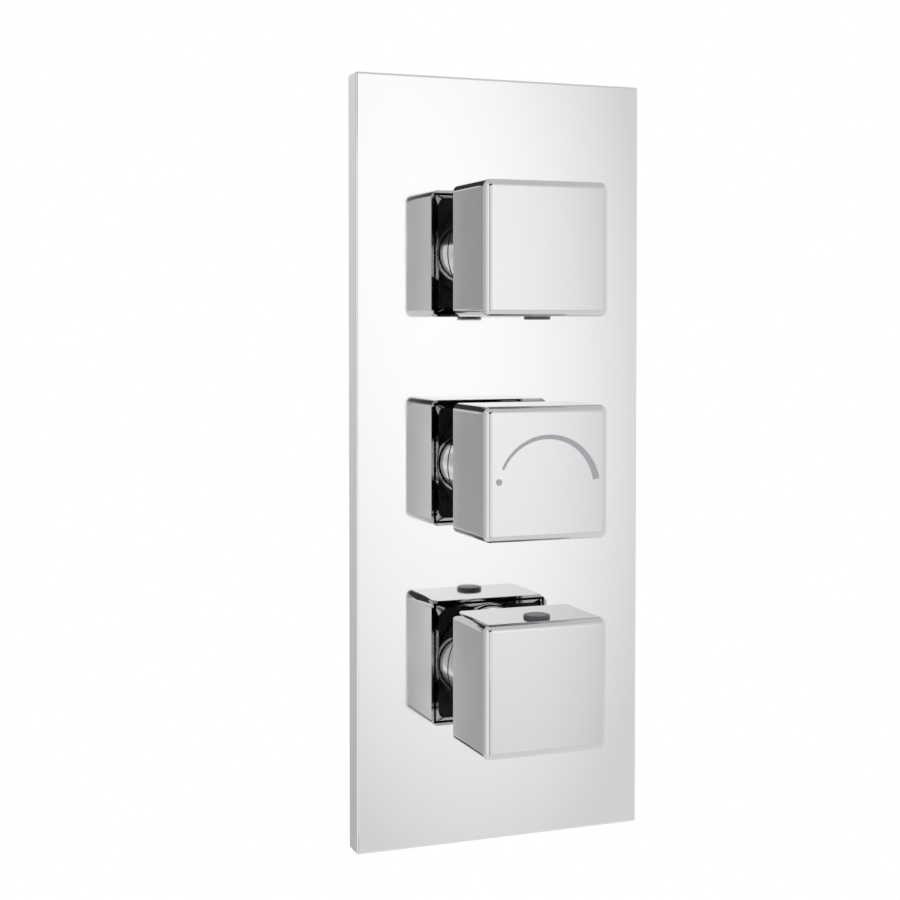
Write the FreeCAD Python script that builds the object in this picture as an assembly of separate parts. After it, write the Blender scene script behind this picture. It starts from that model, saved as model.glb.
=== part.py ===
import FreeCAD, Part
import math
import os

# A concealed thermostatic shower valve with three square knobs on one tall faceplate.
# Millimetres. The origin is the middle of the faceplate's outline, in the plane of the
# finished wall. +X is to the right of a person who faces the wall, +Y goes into the wall
# and +Z is up. Each cartridge and its knob share an axis along Y.

os.makedirs("parts", exist_ok=True)

Vector = FreeCAD.Vector

# ---------------------------------------------------------------- driving dimensions

# Clearances and allowances that many pieces share
seat_gap = 0.3
sliding_clearance = 0.1
running_clearance = 0.05
cut_margin = 1.0

# Faceplate, pressed from sheet with its edges returned to the wall
plate_height = 300.0
plate_width = 120.0
plate_depth = 9.0
plate_sheet = 1.5
plate_edge_round = 0.8
gasket_width = 8.0

# Heights of the three axes
middle_axis_z = -1.0
upper_pitch = 83.0
lower_pitch = 80.0

# Knob shells and the carriers inside them
knob_side = 50.0
knob_depth = 33.0
knob_gap = 12.0
knob_wall = 3.0
knob_front_wall = 4.0
knob_edge_round = 1.0
carrier_recess = 1.0
carrier_flange = 4.0
carrier_clearance = 0.15
carrier_hub_radius = 7.5
carrier_hub_web = 2.0
carrier_rib = 2.5
carrier_rib_setback = 2.0

# The scale engraved on the middle knob: an arc that grows from left to right
scale_radius = 20.0
scale_depth = 0.2
scale_thin = 0.9
scale_thick = 2.6
scale_start_angle = 155.0
scale_end_angle = 11.0
scale_centre_drop = 6.4
scale_dot_radius = 1.2
scale_dot_angle = 169.0

# Collars between plate and knobs
collar_radius = 22.6
collar_wall = 1.5
collar_knob_gap = 0.6
collar_plate_clearance = 0.5
collar_thread_length = 10.0
collar_ring_setback = 7.0
hole_seal_width = 3.4
hole_seal_depth = 4.0

# Push buttons
button_radius = 5.0
button_proud = 1.2
button_travel = 1.0
button_front_gap = 0.5
button_hole_clearance = 0.15
button_edge_round = 0.4
button_flange_radius = 6.0
button_flange = 1.5
button_stem_radius = 2.5
button_slot_gap = 0.5
finger_width = 4.0
finger_thickness = 1.8
finger_overlap = 1.5
finger_hub_gap = 0.9
guide_height = 3.8
guide_wall = 2.5
guide_half_width = 9.0
guide_cheek = 2.0

# Springs: wire thickness and number of turns
button_spring_wire = 0.9
button_spring_turns = 3
button_spring_gap = 0.85
check_spring_wire = 0.6
check_spring_turns = 3
check_spring_gap = 1.5
return_spring_wire = 1.2
return_spring_turns = 4

# Knob screws and grub screws
knob_screw_radius = 2.0
knob_screw_head_radius = 3.5
knob_screw_head = 2.4
knob_screw_length = 10.0
knob_screw_key = 5.0
knob_screw_room = 1.6
grub_radius = 2.0
grub_length = 5.5
grub_sunk = 0.5
grub_key = 2.0
grub_from_back = 9.0
grub_boss_width = 8.0

# Spindles, with toothed ends for the carriers
spindle_radius = 5.0
spline_radius = 4.0
spline_teeth = 20
spline_tooth = 0.4
spline_overhang = 2.0

# Turning ranges, in degrees, and the lead of the temperature spindle's thread
cold_turn = 160.0
hot_turn = 50.0
regulator_lead = 3.0

# Necks of the cartridges, and the O-rings inside them
neck_radius = 9.0
neck_knob_gap = 7.0
neck_ring_section = 0.8
neck_ring_first = 2.5
neck_ring_second = 5.5

# O-rings that seal against a bore
o_ring_section = 0.95
o_ring_groove_width = 2.2

# Brass casting
barrel_front_y = 6.0
barrel_shoulder = 1.4
barrel_wall = 3.5
casting_floor = 5.0
spine_half_width = 17.0
spine_front_y = 20.0
gallery_radius = 5.0
gallery_setback = 0.5
port_radius = 9.3
port_depth = 13.0
port_boss_radius = 12.5
port_hex = 28.0
port_hex_length = 12.0
port_wall = 0.5
top_port_rise = 14.0
passage_radius = 6.0
outlet_setback = 5.0
inlet_y = 30.0
plug_radius = 6.5
plug_depth = 10.0
plug_boss_radius = 10.0
plug_boss_drop = 10.0
plug_hex = 17.0
plug_head = 4.0

# Flow cartridges
flow_barrel_wall = 6.0
bonnet_hex_thickness = 6.0
bonnet_thread_length = 8.0
bonnet_shoulder = 0.5
bonnet_annulus = 2.5
bonnet_skirt_wall = 1.3
bonnet_skirt_gap = 3.0
bonnet_window_count = 4
bonnet_window_width = 8.0
bonnet_window_setback = 1.5
bonnet_window_length = 7.0
bonnet_ring_setback = 2.2
stem_collar_radius = 7.0
stem_collar_length = 5.3
disc_clearance = 0.2
disc_thickness = 4.0
disc_port_inner = 3.0
disc_rim = 1.5
disc_port_angle = 80.0
drive_bar_width = 6.0
drive_bar_thickness = 3.5
drive_dog_length = 1.2
drive_dog_depth = 2.5
drive_dog_angle = 20.0
drive_dog_play_angle = 3.0
base_seal_width = 3.1
base_seal_thickness = 4.4

# Thermostat cartridge
thermostat_mouth_depth = 7.0
thermostat_step = 1.5
housing_flange = 3.0
housing_nose = 7.0
housing_nose_wall = 2.4
housing_front_wall = 3.0
housing_wall = 5.0
band_depth = 2.4
band_length = 7.0
front_land = 4.5
middle_land = 6.0
rear_land = 7.5
window_radius = 2.5
window_count = 6
retaining_nut_gap = 0.9
retaining_hex_length = 8.0
regulator_flange_radius = 8.0
regulator_flange = 1.2
regulator_thread_radius = 4.9
regulating_nut_gap = 1.2
regulating_nut_length = 7.5
regulating_nut_bottom = 1.8
tongue_width = 4.0
tongue_reach = 1.2
tongue_setback = 0.5
tongue_slot_clearance = 0.2
shuttle_wall = 3.5
shuttle_web = 3.0
shuttle_hole_radius = 1.0
shuttle_hole_count = 6
wax_radius = 5.0
wax_piston_radius = 1.5
wax_piston_length = 6.5
wax_tail_radius = 3.5
wax_tail_length = 6.0
return_spring_inset = 2.4
cage_overhang = 3.0
cage_flange = 2.0
cage_spigot = 2.0
cage_wall = 4.2
cage_outlet_space = 8.0
filter_wall = 0.6
filter_window_count = 12
filter_window_width = 4.0
filter_rim = 1.4

# Stop rings on the cartridge necks: the lug clears the finger's sweep by the gap
stop_sleeve_wall = 2.0
stop_sleeve_length = 4.0
stop_disc = 1.5
stop_lug_height = 4.0
stop_lug_gap = 0.5
stop_lug_thickness = 1.7
stop_lug_angle = 16.0
temperature_stop_angle = 110.0
flow_stop_angle = 315.0

# Check valves and strainers in the inlets
check_pocket_radius = 8.0
check_pocket_depth = 11.0
check_body_wall = 1.9
check_seat_lip = 1.5
check_wall = 1.5
check_lift = 2.0
poppet_clearance = 0.4
poppet_thickness = 1.5
poppet_stem_radius = 1.2
spider_hub_wall = 1.4
spider_spoke = 1.4
spider_spoke_count = 3
strainer_thickness = 1.7
strainer_hole_radius = 0.8
strainer_hole_pitch = 2.4
core_wall = 1.5
core_depth = 3.0
core_half_height = 5.0
core_window_half_height = 4.0

# Mounting bracket
bracket_width = 64.0
bracket_height = 260.0
bracket_thickness = 3.0
bracket_corner_round = 6.0
bracket_hole_radius = 2.75
bracket_hole_from_side = 10.0
bracket_hole_from_end = 12.0
bracket_screw_radius = 2.5
bracket_screw_length = 11.0
bracket_screw_head_radius = 4.6
bracket_screw_from_middle = 12.0
bracket_screw_key = 6.0
bracket_screw_key_depth = 1.5

# ---------------------------------------------------------------- sizes worked out from these

# Axes and knobs, from the wall plane outwards
upper_axis_z = middle_axis_z + upper_pitch
lower_axis_z = middle_axis_z - lower_pitch
axis_heights = (upper_axis_z, middle_axis_z, lower_axis_z)
plate_front_y = -plate_depth
plate_inner_y = plate_front_y + plate_sheet
knob_back_y = plate_front_y - knob_gap
knob_front_y = knob_back_y - knob_depth
half_side = knob_side / 2
cavity_half = half_side - knob_wall
cavity_front_y = knob_front_y + knob_front_wall
carrier_back_y = knob_back_y - carrier_recess
carrier_front_y = carrier_back_y - carrier_flange
carrier_half = cavity_half - carrier_clearance
hub_front_y = cavity_front_y + knob_screw_room + knob_screw_head
spindle_end_y = hub_front_y + carrier_hub_web
spline_end_y = carrier_back_y + spline_overhang
neck_front_y = knob_back_y + neck_knob_gap
grub_y = knob_back_y - grub_from_back
grub_foot_z = -half_side + grub_sunk

# Collars and what they screw onto
collar_inner_radius = collar_radius - collar_wall
collar_front_y = knob_back_y + collar_knob_gap
collar_seat_y = barrel_front_y + collar_thread_length
collar_back_y = collar_seat_y - seat_gap
collar_ring_y = barrel_front_y + collar_ring_setback
barrel_thread_radius = collar_inner_radius - sliding_clearance
barrel_radius = collar_radius + barrel_shoulder
plate_hole_radius = collar_radius + collar_plate_clearance

# Buttons
button_y = cavity_front_y + button_flange_radius + button_front_gap
button_flange_top = cavity_half - seat_gap
button_flange_bottom = button_flange_top - button_flange
finger_low = carrier_hub_radius + button_travel + finger_hub_gap
finger_high = finger_low + finger_thickness
finger_end_y = neck_front_y - stop_lug_height + finger_overlap
guide_low = finger_high + button_slot_gap
guide_high = guide_low + guide_height
guide_half_length = button_stem_radius + guide_wall
stop_lug_inner_radius = math.hypot(finger_high, finger_width / 2) + stop_lug_gap
stop_ring_radius = stop_lug_inner_radius + stop_lug_thickness

# Flow cartridges
flow_bore_radius = barrel_thread_radius - flow_barrel_wall
bonnet_hex = 2 * flow_bore_radius
bonnet_thread_radius = flow_bore_radius - sliding_clearance
bonnet_thread_end_y = barrel_front_y + bonnet_thread_length
bonnet_ring_y = bonnet_thread_end_y - bonnet_ring_setback
bonnet_skirt_radius = flow_bore_radius - bonnet_annulus
bonnet_chamber_radius = bonnet_skirt_radius - bonnet_skirt_wall
chamber_front_y = bonnet_thread_end_y + bonnet_shoulder
stem_collar_y = chamber_front_y + seat_gap
drive_bar_front_y = stem_collar_y + stem_collar_length
moving_disc_front_y = drive_bar_front_y + drive_bar_thickness
disc_bed_y = moving_disc_front_y + disc_thickness
fixed_disc_end_y = disc_bed_y + disc_thickness
flow_floor_y = fixed_disc_end_y + base_seal_thickness
bonnet_skirt_end_y = flow_floor_y - bonnet_skirt_gap
disc_radius = bonnet_chamber_radius - disc_clearance
drive_reach = disc_radius - running_clearance
flow_neck_rings = (barrel_front_y - bonnet_hex_thickness - neck_ring_first,
                   barrel_front_y - bonnet_hex_thickness - neck_ring_second)

# Thermostat cartridge, from its mouth inwards
thermostat_mouth_radius = barrel_thread_radius - barrel_wall
thermostat_bore_radius = thermostat_mouth_radius - thermostat_step
housing_land_radius = thermostat_bore_radius - sliding_clearance
mouth_step_y = barrel_front_y + thermostat_mouth_depth
housing_front_y = barrel_front_y - housing_nose
chamber_radius = thermostat_bore_radius - housing_wall
band_floor_radius = housing_land_radius - band_depth
housing_body_radius = chamber_radius + housing_nose_wall
chamber_start_y = housing_front_y + housing_front_wall
hot_band_y = mouth_step_y + front_land
cold_band_y = hot_band_y + band_length + middle_land
cold_band_end_y = cold_band_y + band_length
housing_end_y = cold_band_end_y + rear_land
housing_ring_places = (mouth_step_y + front_land / 2, cold_band_y - middle_land / 2,
                       cold_band_end_y + rear_land / 2)
thermostat_neck_rings = (housing_front_y - neck_ring_first, housing_front_y - neck_ring_second)
retaining_hex = 2 * math.cos(math.pi / 6) * (collar_inner_radius - retaining_nut_gap)
retaining_hex_y = barrel_front_y - seat_gap
travel_out = regulator_lead * cold_turn / 360
travel_in = regulator_lead * hot_turn / 360
regulator_flange_y = chamber_start_y + seat_gap
regulator_flange_end_y = regulator_flange_y + regulator_flange
regulating_nut_y = regulator_flange_end_y + travel_out + regulating_nut_gap
regulating_nut_end_y = regulating_nut_y + regulating_nut_length
regulating_bore_end_y = regulating_nut_end_y - regulating_nut_bottom
regulator_thread_end_y = regulating_bore_end_y - travel_out - seat_gap
regulating_nut_radius = chamber_radius - seat_gap
wax_front_y = regulating_nut_end_y + wax_piston_length
shuttle_start_y = hot_band_y + band_length / 2
shuttle_end_y = cold_band_y + band_length / 2
shuttle_bore_radius = chamber_radius - shuttle_wall
return_spring_radius = chamber_radius - return_spring_inset
thermostat_floor_y = housing_end_y + cage_flange + cage_outlet_space

# Casting, ports and check valves
casting_back_y = thermostat_floor_y + casting_floor
gallery_y = thermostat_floor_y - gallery_radius - gallery_setback
outlet_y = flow_floor_y - outlet_setback
core_inner = thermostat_bore_radius + core_wall
core_outer = core_inner + core_depth
check_pocket_start = core_outer + port_wall
port_floor = check_pocket_start + check_pocket_depth
port_reach = port_floor + port_depth
check_body_radius = check_pocket_radius - sliding_clearance
check_bore_radius = check_body_radius - check_body_wall
check_seat_radius = check_bore_radius - check_seat_lip
check_body_start = check_pocket_start + seat_gap
check_body_room = check_lift + check_spring_turns * check_spring_wire + 2 * sliding_clearance
check_body_end = check_body_start + 2 * check_wall + poppet_thickness + check_body_room
check_seat_start = check_body_end - check_wall
poppet_radius = check_bore_radius - poppet_clearance
poppet_back = check_seat_start - sliding_clearance - poppet_thickness
check_spring_radius = poppet_stem_radius + check_spring_gap + check_spring_wire / 2
spider_end = check_body_start + check_wall
spider_hub_radius = poppet_stem_radius + sliding_clearance + spider_hub_wall
top_port_end_z = upper_axis_z + barrel_radius + top_port_rise
plug_boss_end_z = lower_axis_z - barrel_radius - plug_boss_drop
hot_inlet = Vector(-port_reach, inlet_y, lower_axis_z)
cold_inlet = Vector(port_reach, inlet_y, lower_axis_z)
side_outlet = Vector(port_reach, outlet_y, middle_axis_z)
top_outlet = Vector(0, outlet_y, top_port_end_z)

# Bracket
bracket_back_y = casting_back_y + bracket_thickness
bracket_hole_x = bracket_width / 2 - bracket_hole_from_side
bracket_hole_z = bracket_height / 2 - bracket_hole_from_end
bracket_screw_heights = ((upper_axis_z + middle_axis_z) / 2, (middle_axis_z + lower_axis_z) / 2)


# ---------------------------------------------------------------- basic shapes

def rod(radius, start_y, end_y):
    """A cylinder along Y, on the cartridge's own axis."""
    return Part.makeCylinder(radius, end_y - start_y, Vector(0, start_y, 0), Vector(0, 1, 0))


def ring(outer, inner, start_y, end_y):
    """A tube along Y."""
    return rod(outer, start_y, end_y).cut(rod(inner, start_y - cut_margin, end_y + cut_margin))


def block(x_range, y_range, z_range):
    """A box given by its two limits along each axis."""
    corner = Vector(min(x_range), min(y_range), min(z_range))
    size = (abs(x_range[1] - x_range[0]), abs(y_range[1] - y_range[0]), abs(z_range[1] - z_range[0]))
    return Part.makeBox(size[0], size[1], size[2], corner)


def centred_block(half_x, y_range, half_z):
    """A box that is even about the axis."""
    return block((-half_x, half_x), y_range, (-half_z, half_z))


def cross_rod(radius, start, end):
    """A cylinder from one point to another."""
    run = end.sub(start)
    return Part.makeCylinder(radius, run.Length, start, run)


def prism(points, start_y, end_y):
    """A polygon in the XZ plane, pulled along Y."""
    corners = [Vector(x, start_y, z) for x, z in points]
    outline = Part.makePolygon(corners + [corners[0]])
    return Part.Face(outline).extrude(Vector(0, end_y - start_y, 0))


def hex_prism(across_flats, start_y, end_y):
    """A hexagon along Y with the given size across its flats."""
    corner = across_flats / 2 / math.cos(math.pi / 6)
    angles = [side * math.pi / 3 for side in range(6)]
    points = [(corner * math.cos(angle), corner * math.sin(angle)) for angle in angles]
    return prism(points, start_y, end_y)


def around_axis(radius, angle, y):
    """A point at a radius and an angle in degrees, from +X towards +Z."""
    turn = math.radians(angle)
    return Vector(radius * math.cos(turn), y, radius * math.sin(turn))


def sector(inner, outer, middle_angle, width_angle, start_y, end_y):
    """A piece of a ring, as wide as the given angle."""
    first = middle_angle - width_angle / 2
    last = middle_angle + width_angle / 2
    outer_points = [around_axis(outer, angle, start_y) for angle in (first, middle_angle, last)]
    inner_points = [around_axis(inner, angle, start_y) for angle in (last, middle_angle, first)]
    edges = [
        Part.Arc(*outer_points).toShape(),
        Part.LineSegment(outer_points[2], inner_points[0]).toShape(),
        Part.Arc(*inner_points).toShape(),
        Part.LineSegment(inner_points[2], outer_points[0]).toShape(),
    ]
    return Part.Face(Part.Wire(edges)).extrude(Vector(0, end_y - start_y, 0))


def join(first, *others):
    """One solid from several that touch."""
    return first.fuse(list(others)).removeSplitter()


def spread(shape, count):
    """Copies spaced evenly round the Y axis."""
    return [turned(shape, index * 360 / count) for index in range(count)]


def o_ring(bore_radius, centre_y):
    """An O-ring whose outside just meets a bore of the given radius."""
    middle_radius = bore_radius - running_clearance - o_ring_section
    return Part.makeTorus(middle_radius, o_ring_section, Vector(0, centre_y, 0), Vector(0, 1, 0))


def o_ring_groove(bore_radius, centre_y):
    """The groove that holds such an O-ring in the piece inside the bore."""
    floor_radius = bore_radius - 2 * (running_clearance + o_ring_section)
    start_y = centre_y - o_ring_groove_width / 2
    return ring(bore_radius + cut_margin, floor_radius, start_y, start_y + o_ring_groove_width)


def neck_ring(y):
    """An O-ring inside a neck, round the spindle."""
    middle_radius = spindle_radius + running_clearance + neck_ring_section
    return Part.makeTorus(middle_radius, neck_ring_section, Vector(0, y, 0), Vector(0, 1, 0))


def neck_ring_groove(y):
    """The groove for it, cut outwards from the neck's bore."""
    outer = spindle_radius + 2 * (neck_ring_section + running_clearance)
    half = neck_ring_section + sliding_clearance
    return ring(outer, spindle_radius / 2, y - half, y + half)


def coil_spring(coil_radius, wire, turns, length):
    """An open coil spring that stands on the origin and points up, made of quarter turns."""
    quarters = 4 * turns
    rise = (length - wire) / quarters

    def on_coil(quarter):
        angle = quarter * math.pi / 2
        return Vector(coil_radius * math.cos(angle), coil_radius * math.sin(angle), wire / 2 + rise * quarter)

    arcs = [Part.Arc(on_coil(q), on_coil(q + 0.5), on_coil(q + 1)).toShape() for q in range(quarters)]
    section = Part.makeCircle(wire / 2, on_coil(0), arcs[0].tangentAt(arcs[0].FirstParameter))
    return Part.Wire(arcs).makePipeShell([Part.Wire(section)], True, False)


def laid_along_y(shape, start_y):
    """A shape that stands on the origin, laid down to run along Y from start_y."""
    shape.rotate(Vector(0, 0, 0), Vector(1, 0, 0), -90)
    shape.translate(Vector(0, start_y, 0))
    return shape


def turned(shape, angle):
    """A copy turned about the Y axis."""
    copy = shape.copy()
    copy.rotate(Vector(0, 0, 0), Vector(0, 1, 0), angle)
    return copy


def raised(shape, height):
    """A copy moved up to a knob's axis."""
    return shape.translated(Vector(0, 0, height))


def group(shapes):
    """Several separate solids that share one name."""
    return Part.makeCompound(shapes)


def save(shape, name):
    shape.exportStep("parts/" + name + ".step")


# ---------------------------------------------------------------- plate, seals and collars

def make_face_plate():
    outside = centred_block(plate_width / 2, (plate_front_y, 0), plate_height / 2)
    rounded = [edge for edge in outside.Edges if edge.BoundBox.YMin < plate_front_y / 2]
    outside = outside.makeFillet(plate_edge_round, rounded)
    inner_width = plate_width / 2 - plate_sheet
    inner_height = plate_height / 2 - plate_sheet
    plate = outside.cut(centred_block(inner_width, (plate_inner_y, cut_margin), inner_height))
    hole = rod(plate_hole_radius, plate_front_y - cut_margin, cut_margin)
    return plate.cut([raised(hole, height) for height in axis_heights])


def make_plate_gasket():
    outer_x = plate_width / 2 - plate_sheet - sliding_clearance
    outer_z = plate_height / 2 - plate_sheet - sliding_clearance
    front_y = plate_inner_y + sliding_clearance
    strip = centred_block(outer_x, (front_y, 0), outer_z)
    middle = centred_block(outer_x - gasket_width, (front_y - cut_margin, cut_margin), outer_z - gasket_width)
    return strip.cut(middle)


def make_hole_seals():
    inner = collar_radius + running_clearance
    front_y = plate_inner_y + sliding_clearance
    seal = ring(inner + hole_seal_width, inner, front_y, front_y + hole_seal_depth)
    return group([raised(seal, height) for height in axis_heights])


def make_collar():
    tube = ring(collar_radius, collar_inner_radius, collar_front_y, collar_back_y)
    front_edges = [edge for edge in tube.Edges if edge.BoundBox.YMax < collar_front_y + running_clearance]
    return tube.makeFillet(collar_wall / 4, front_edges)


# ---------------------------------------------------------------- knobs

def spline_prism(growth, start_y, end_y):
    """The toothed shape of a spindle's end, grown all round by a clearance."""
    points = []
    root_radius = spline_radius - spline_tooth
    tooth_shape = ((0, spline_radius), (0.35, spline_radius), (0.5, root_radius), (0.85, root_radius))
    for tooth in range(spline_teeth):
        for share, radius in tooth_shape:
            corner = around_axis(radius + growth, 360 * (tooth + share) / spline_teeth, 0)
            points.append((corner.x, corner.z))
    return prism(points, start_y, end_y)


def knob_box():
    outside = centred_block(half_side, (knob_front_y, knob_back_y), half_side)
    outside = outside.makeFillet(knob_edge_round, outside.Edges)
    hollow = centred_block(cavity_half, (cavity_front_y, knob_back_y + cut_margin), cavity_half)
    hole_start = Vector(0, grub_y, -half_side - cut_margin)
    hole_end = Vector(0, grub_y, -cavity_half + cut_margin)
    grub_hole = cross_rod(grub_radius + running_clearance, hole_start, hole_end)
    return outside.cut([hollow, grub_hole])


def scale_at(radius, angle):
    """A point of the scale, just in front of the knob's face."""
    return around_axis(radius, angle, knob_front_y - cut_margin).sub(Vector(0, 0, scale_centre_drop))


def scale_engraving():
    """The growing arc and its dot, as cutters that reach in from the front face."""
    middle_angle = (scale_start_angle + scale_end_angle) / 2
    middle_width = (scale_thin + scale_thick) / 2
    stations = ((scale_start_angle, scale_thin), (middle_angle, middle_width), (scale_end_angle, scale_thick))
    outer = [scale_at(scale_radius + width / 2, angle) for angle, width in stations]
    inner = [scale_at(scale_radius - width / 2, angle) for angle, width in stations]
    outline = Part.Wire([
        Part.Arc(*outer).toShape(),
        Part.LineSegment(outer[2], inner[2]).toShape(),
        Part.Arc(inner[2], inner[1], inner[0]).toShape(),
        Part.LineSegment(inner[0], outer[0]).toShape(),
    ])
    depth = Vector(0, cut_margin + scale_depth, 0)
    dot = scale_at(scale_radius, scale_dot_angle)
    return [Part.Face(outline).extrude(depth), cross_rod(scale_dot_radius, dot, dot.add(depth))]


def make_plain_shell():
    return knob_box().cut(scale_engraving())


def make_button_shell():
    hole_radius = button_radius + button_hole_clearance
    hole = cross_rod(hole_radius, Vector(0, button_y, cavity_half - cut_margin),
                     Vector(0, button_y, half_side + cut_margin))
    return knob_box().cut(hole)


def carrier_core(rib_angles):
    """What every carrier has: flange, hub, ribs and the block for the grub screw."""
    flange = centred_block(carrier_half, (carrier_front_y, carrier_back_y), carrier_half)
    hub = rod(carrier_hub_radius, hub_front_y, carrier_back_y)
    rib_y = (hub_front_y + carrier_rib_setback, carrier_front_y)
    rib = block((0, carrier_half), rib_y, (-carrier_rib / 2, carrier_rib / 2))
    ribs = [turned(rib, angle) for angle in rib_angles]
    half = grub_boss_width / 2
    grub_block = block((-half, half), (grub_y - half, carrier_front_y), (-carrier_half, 0))
    return join(flange, hub, grub_block, *ribs)


def carrier_holes():
    """The spline socket, the screw's hole and the grub screw's hole."""
    socket = spline_prism(running_clearance, spindle_end_y - seat_gap, carrier_back_y + cut_margin)
    screw_hole = rod(knob_screw_radius + running_clearance, hub_front_y - cut_margin, spindle_end_y)
    grub_end = Vector(0, grub_y, grub_foot_z + grub_length + running_clearance)
    grub_hole = cross_rod(grub_radius + running_clearance, Vector(0, grub_y, -half_side), grub_end)
    return [socket, screw_hole, grub_hole]


def make_plain_carrier():
    return carrier_core((0, 90, 180)).cut(carrier_holes())


def make_button_carrier():
    """This one also guides the button's stem, between two cheeks."""
    guide_y = (button_y - guide_half_length, button_y + guide_half_length)
    guide = block((-guide_half_width, guide_half_width), guide_y, (guide_low, guide_high))
    cheek_inner = guide_half_width - guide_cheek
    cheek_y = (guide_y[0], carrier_front_y)
    cheeks = [block((side * cheek_inner, side * guide_half_width), cheek_y, (0, guide_high))
              for side in (-1, 1)]
    stem_hole = cross_rod(button_stem_radius + sliding_clearance, Vector(0, button_y, guide_low - cut_margin),
                          Vector(0, button_y, guide_high + cut_margin))
    slot_half = finger_width / 2 + button_slot_gap
    slot_y = (carrier_front_y - cut_margin, carrier_back_y + cut_margin)
    slot_z = (finger_low - button_travel - button_slot_gap, finger_high + button_slot_gap)
    slot = block((-slot_half, slot_half), slot_y, slot_z)
    return join(carrier_core((0, 180)), guide, *cheeks).cut(carrier_holes() + [stem_hole, slot])


def make_knob_screw():
    head_y = hub_front_y - knob_screw_head
    head = rod(knob_screw_head_radius, head_y, hub_front_y)
    shank = rod(knob_screw_radius, hub_front_y, hub_front_y + knob_screw_length)
    key = hex_prism(knob_screw_key / 2, head_y - cut_margin, head_y + knob_screw_head / 2)
    return join(head, shank).cut(key)


def make_grub_screw():
    foot = Vector(0, grub_y, grub_foot_z)
    screw = cross_rod(grub_radius, foot, Vector(0, grub_y, grub_foot_z + grub_length))
    key = hex_prism(grub_key, -cut_margin, grub_length / 3)
    key.rotate(Vector(0, 0, 0), Vector(1, 0, 0), 90)
    key.translate(foot)
    return screw.cut(key)


def make_button():
    top = Vector(0, button_y, half_side + button_proud)
    cap = cross_rod(button_radius, Vector(0, button_y, button_flange_top), top)
    top_edge = [edge for edge in cap.Edges if edge.BoundBox.ZMin > half_side]
    cap = cap.makeFillet(button_edge_round, top_edge)
    flange_bottom = Vector(0, button_y, button_flange_bottom)
    flange = cross_rod(button_flange_radius, flange_bottom, Vector(0, button_y, button_flange_top))
    stem = cross_rod(button_stem_radius, Vector(0, button_y, finger_low), flange_bottom)
    finger = block((-finger_width / 2, finger_width / 2), (button_y, finger_end_y), (finger_low, finger_high))
    return join(cap, flange, stem, finger)


def make_button_spring():
    coil_radius = button_stem_radius + button_spring_gap + button_spring_wire / 2
    length = button_flange_bottom - guide_high - 2 * running_clearance
    spring = coil_spring(coil_radius, button_spring_wire, button_spring_turns, length)
    return spring.translated(Vector(0, button_y, guide_high + running_clearance))


# ---------------------------------------------------------------- flow cartridges

def spindle_front(stem_end_y):
    """What every spindle has: the toothed end and the plain stem."""
    return join(spline_prism(0, spindle_end_y, spline_end_y), rod(spindle_radius, spline_end_y, stem_end_y))


def spindle_screw_hole():
    end_y = hub_front_y + knob_screw_length + cut_margin
    return rod(knob_screw_radius + running_clearance, spindle_end_y - cut_margin, end_y)


def make_flow_spindle():
    """A stem that ends in a bar, whose two dogs turn the ceramic disc."""
    bar_end_y = moving_disc_front_y - running_clearance
    collar = rod(stem_collar_radius, stem_collar_y, drive_bar_front_y)
    bar = centred_block(drive_reach, (drive_bar_front_y, bar_end_y), drive_bar_width / 2)
    bar = bar.common(rod(drive_reach, drive_bar_front_y, bar_end_y))
    dog = sector(drive_reach - drive_dog_depth, drive_reach, 0, drive_dog_angle, drive_bar_front_y,
                 moving_disc_front_y + drive_dog_length)
    return join(spindle_front(drive_bar_front_y), collar, bar, *spread(dog, 2)).cut(spindle_screw_hole())


def make_bonnet():
    """The brass head that holds the spindle and the discs, screwed into its barrel."""
    hex_y = barrel_front_y - bonnet_hex_thickness
    bonnet = join(rod(neck_radius, neck_front_y, hex_y), hex_prism(bonnet_hex, hex_y, barrel_front_y),
                  rod(bonnet_thread_radius, barrel_front_y, bonnet_thread_end_y),
                  rod(bonnet_skirt_radius, bonnet_thread_end_y, bonnet_skirt_end_y))
    half = bonnet_window_width / 2
    window_y = chamber_front_y + bonnet_window_setback
    window = block((0, flow_bore_radius), (window_y, window_y + bonnet_window_length), (-half, half))
    cuts = [
        rod(spindle_radius + running_clearance, neck_front_y - cut_margin, chamber_front_y + cut_margin),
        rod(bonnet_chamber_radius, chamber_front_y, bonnet_skirt_end_y + cut_margin),
        o_ring_groove(flow_bore_radius, bonnet_ring_y),
    ]
    cuts += [turned(cut, 180 / bonnet_window_count) for cut in spread(window, bonnet_window_count)]
    cuts += [neck_ring_groove(y) for y in flow_neck_rings]
    return bonnet.cut(cuts)


def disc_with_ports(start_y, end_y, port_angle):
    port = sector(disc_port_inner, disc_radius - disc_rim, port_angle, disc_port_angle, start_y - cut_margin,
                  end_y + cut_margin)
    return rod(disc_radius, start_y, end_y).cut(spread(port, 2))


def make_turning_disc():
    """The ceramic disc that turns with the spindle: closed at rest, open a quarter turn on."""
    disc = disc_with_ports(moving_disc_front_y, disc_bed_y - running_clearance, 90)
    notch_inner = drive_reach - drive_dog_depth - sliding_clearance
    notch_end_y = moving_disc_front_y + drive_dog_length + sliding_clearance
    notch = sector(notch_inner, disc_radius + cut_margin, 0, drive_dog_angle + drive_dog_play_angle,
                   moving_disc_front_y - cut_margin, notch_end_y)
    return disc.cut(spread(notch, 2))


def make_fixed_disc():
    return disc_with_ports(disc_bed_y, fixed_disc_end_y, 0)


def make_base_seal():
    outer = bonnet_chamber_radius - sliding_clearance
    return ring(outer, outer - base_seal_width, fixed_disc_end_y, flow_floor_y)


# ---------------------------------------------------------------- thermostat cartridge

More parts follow.
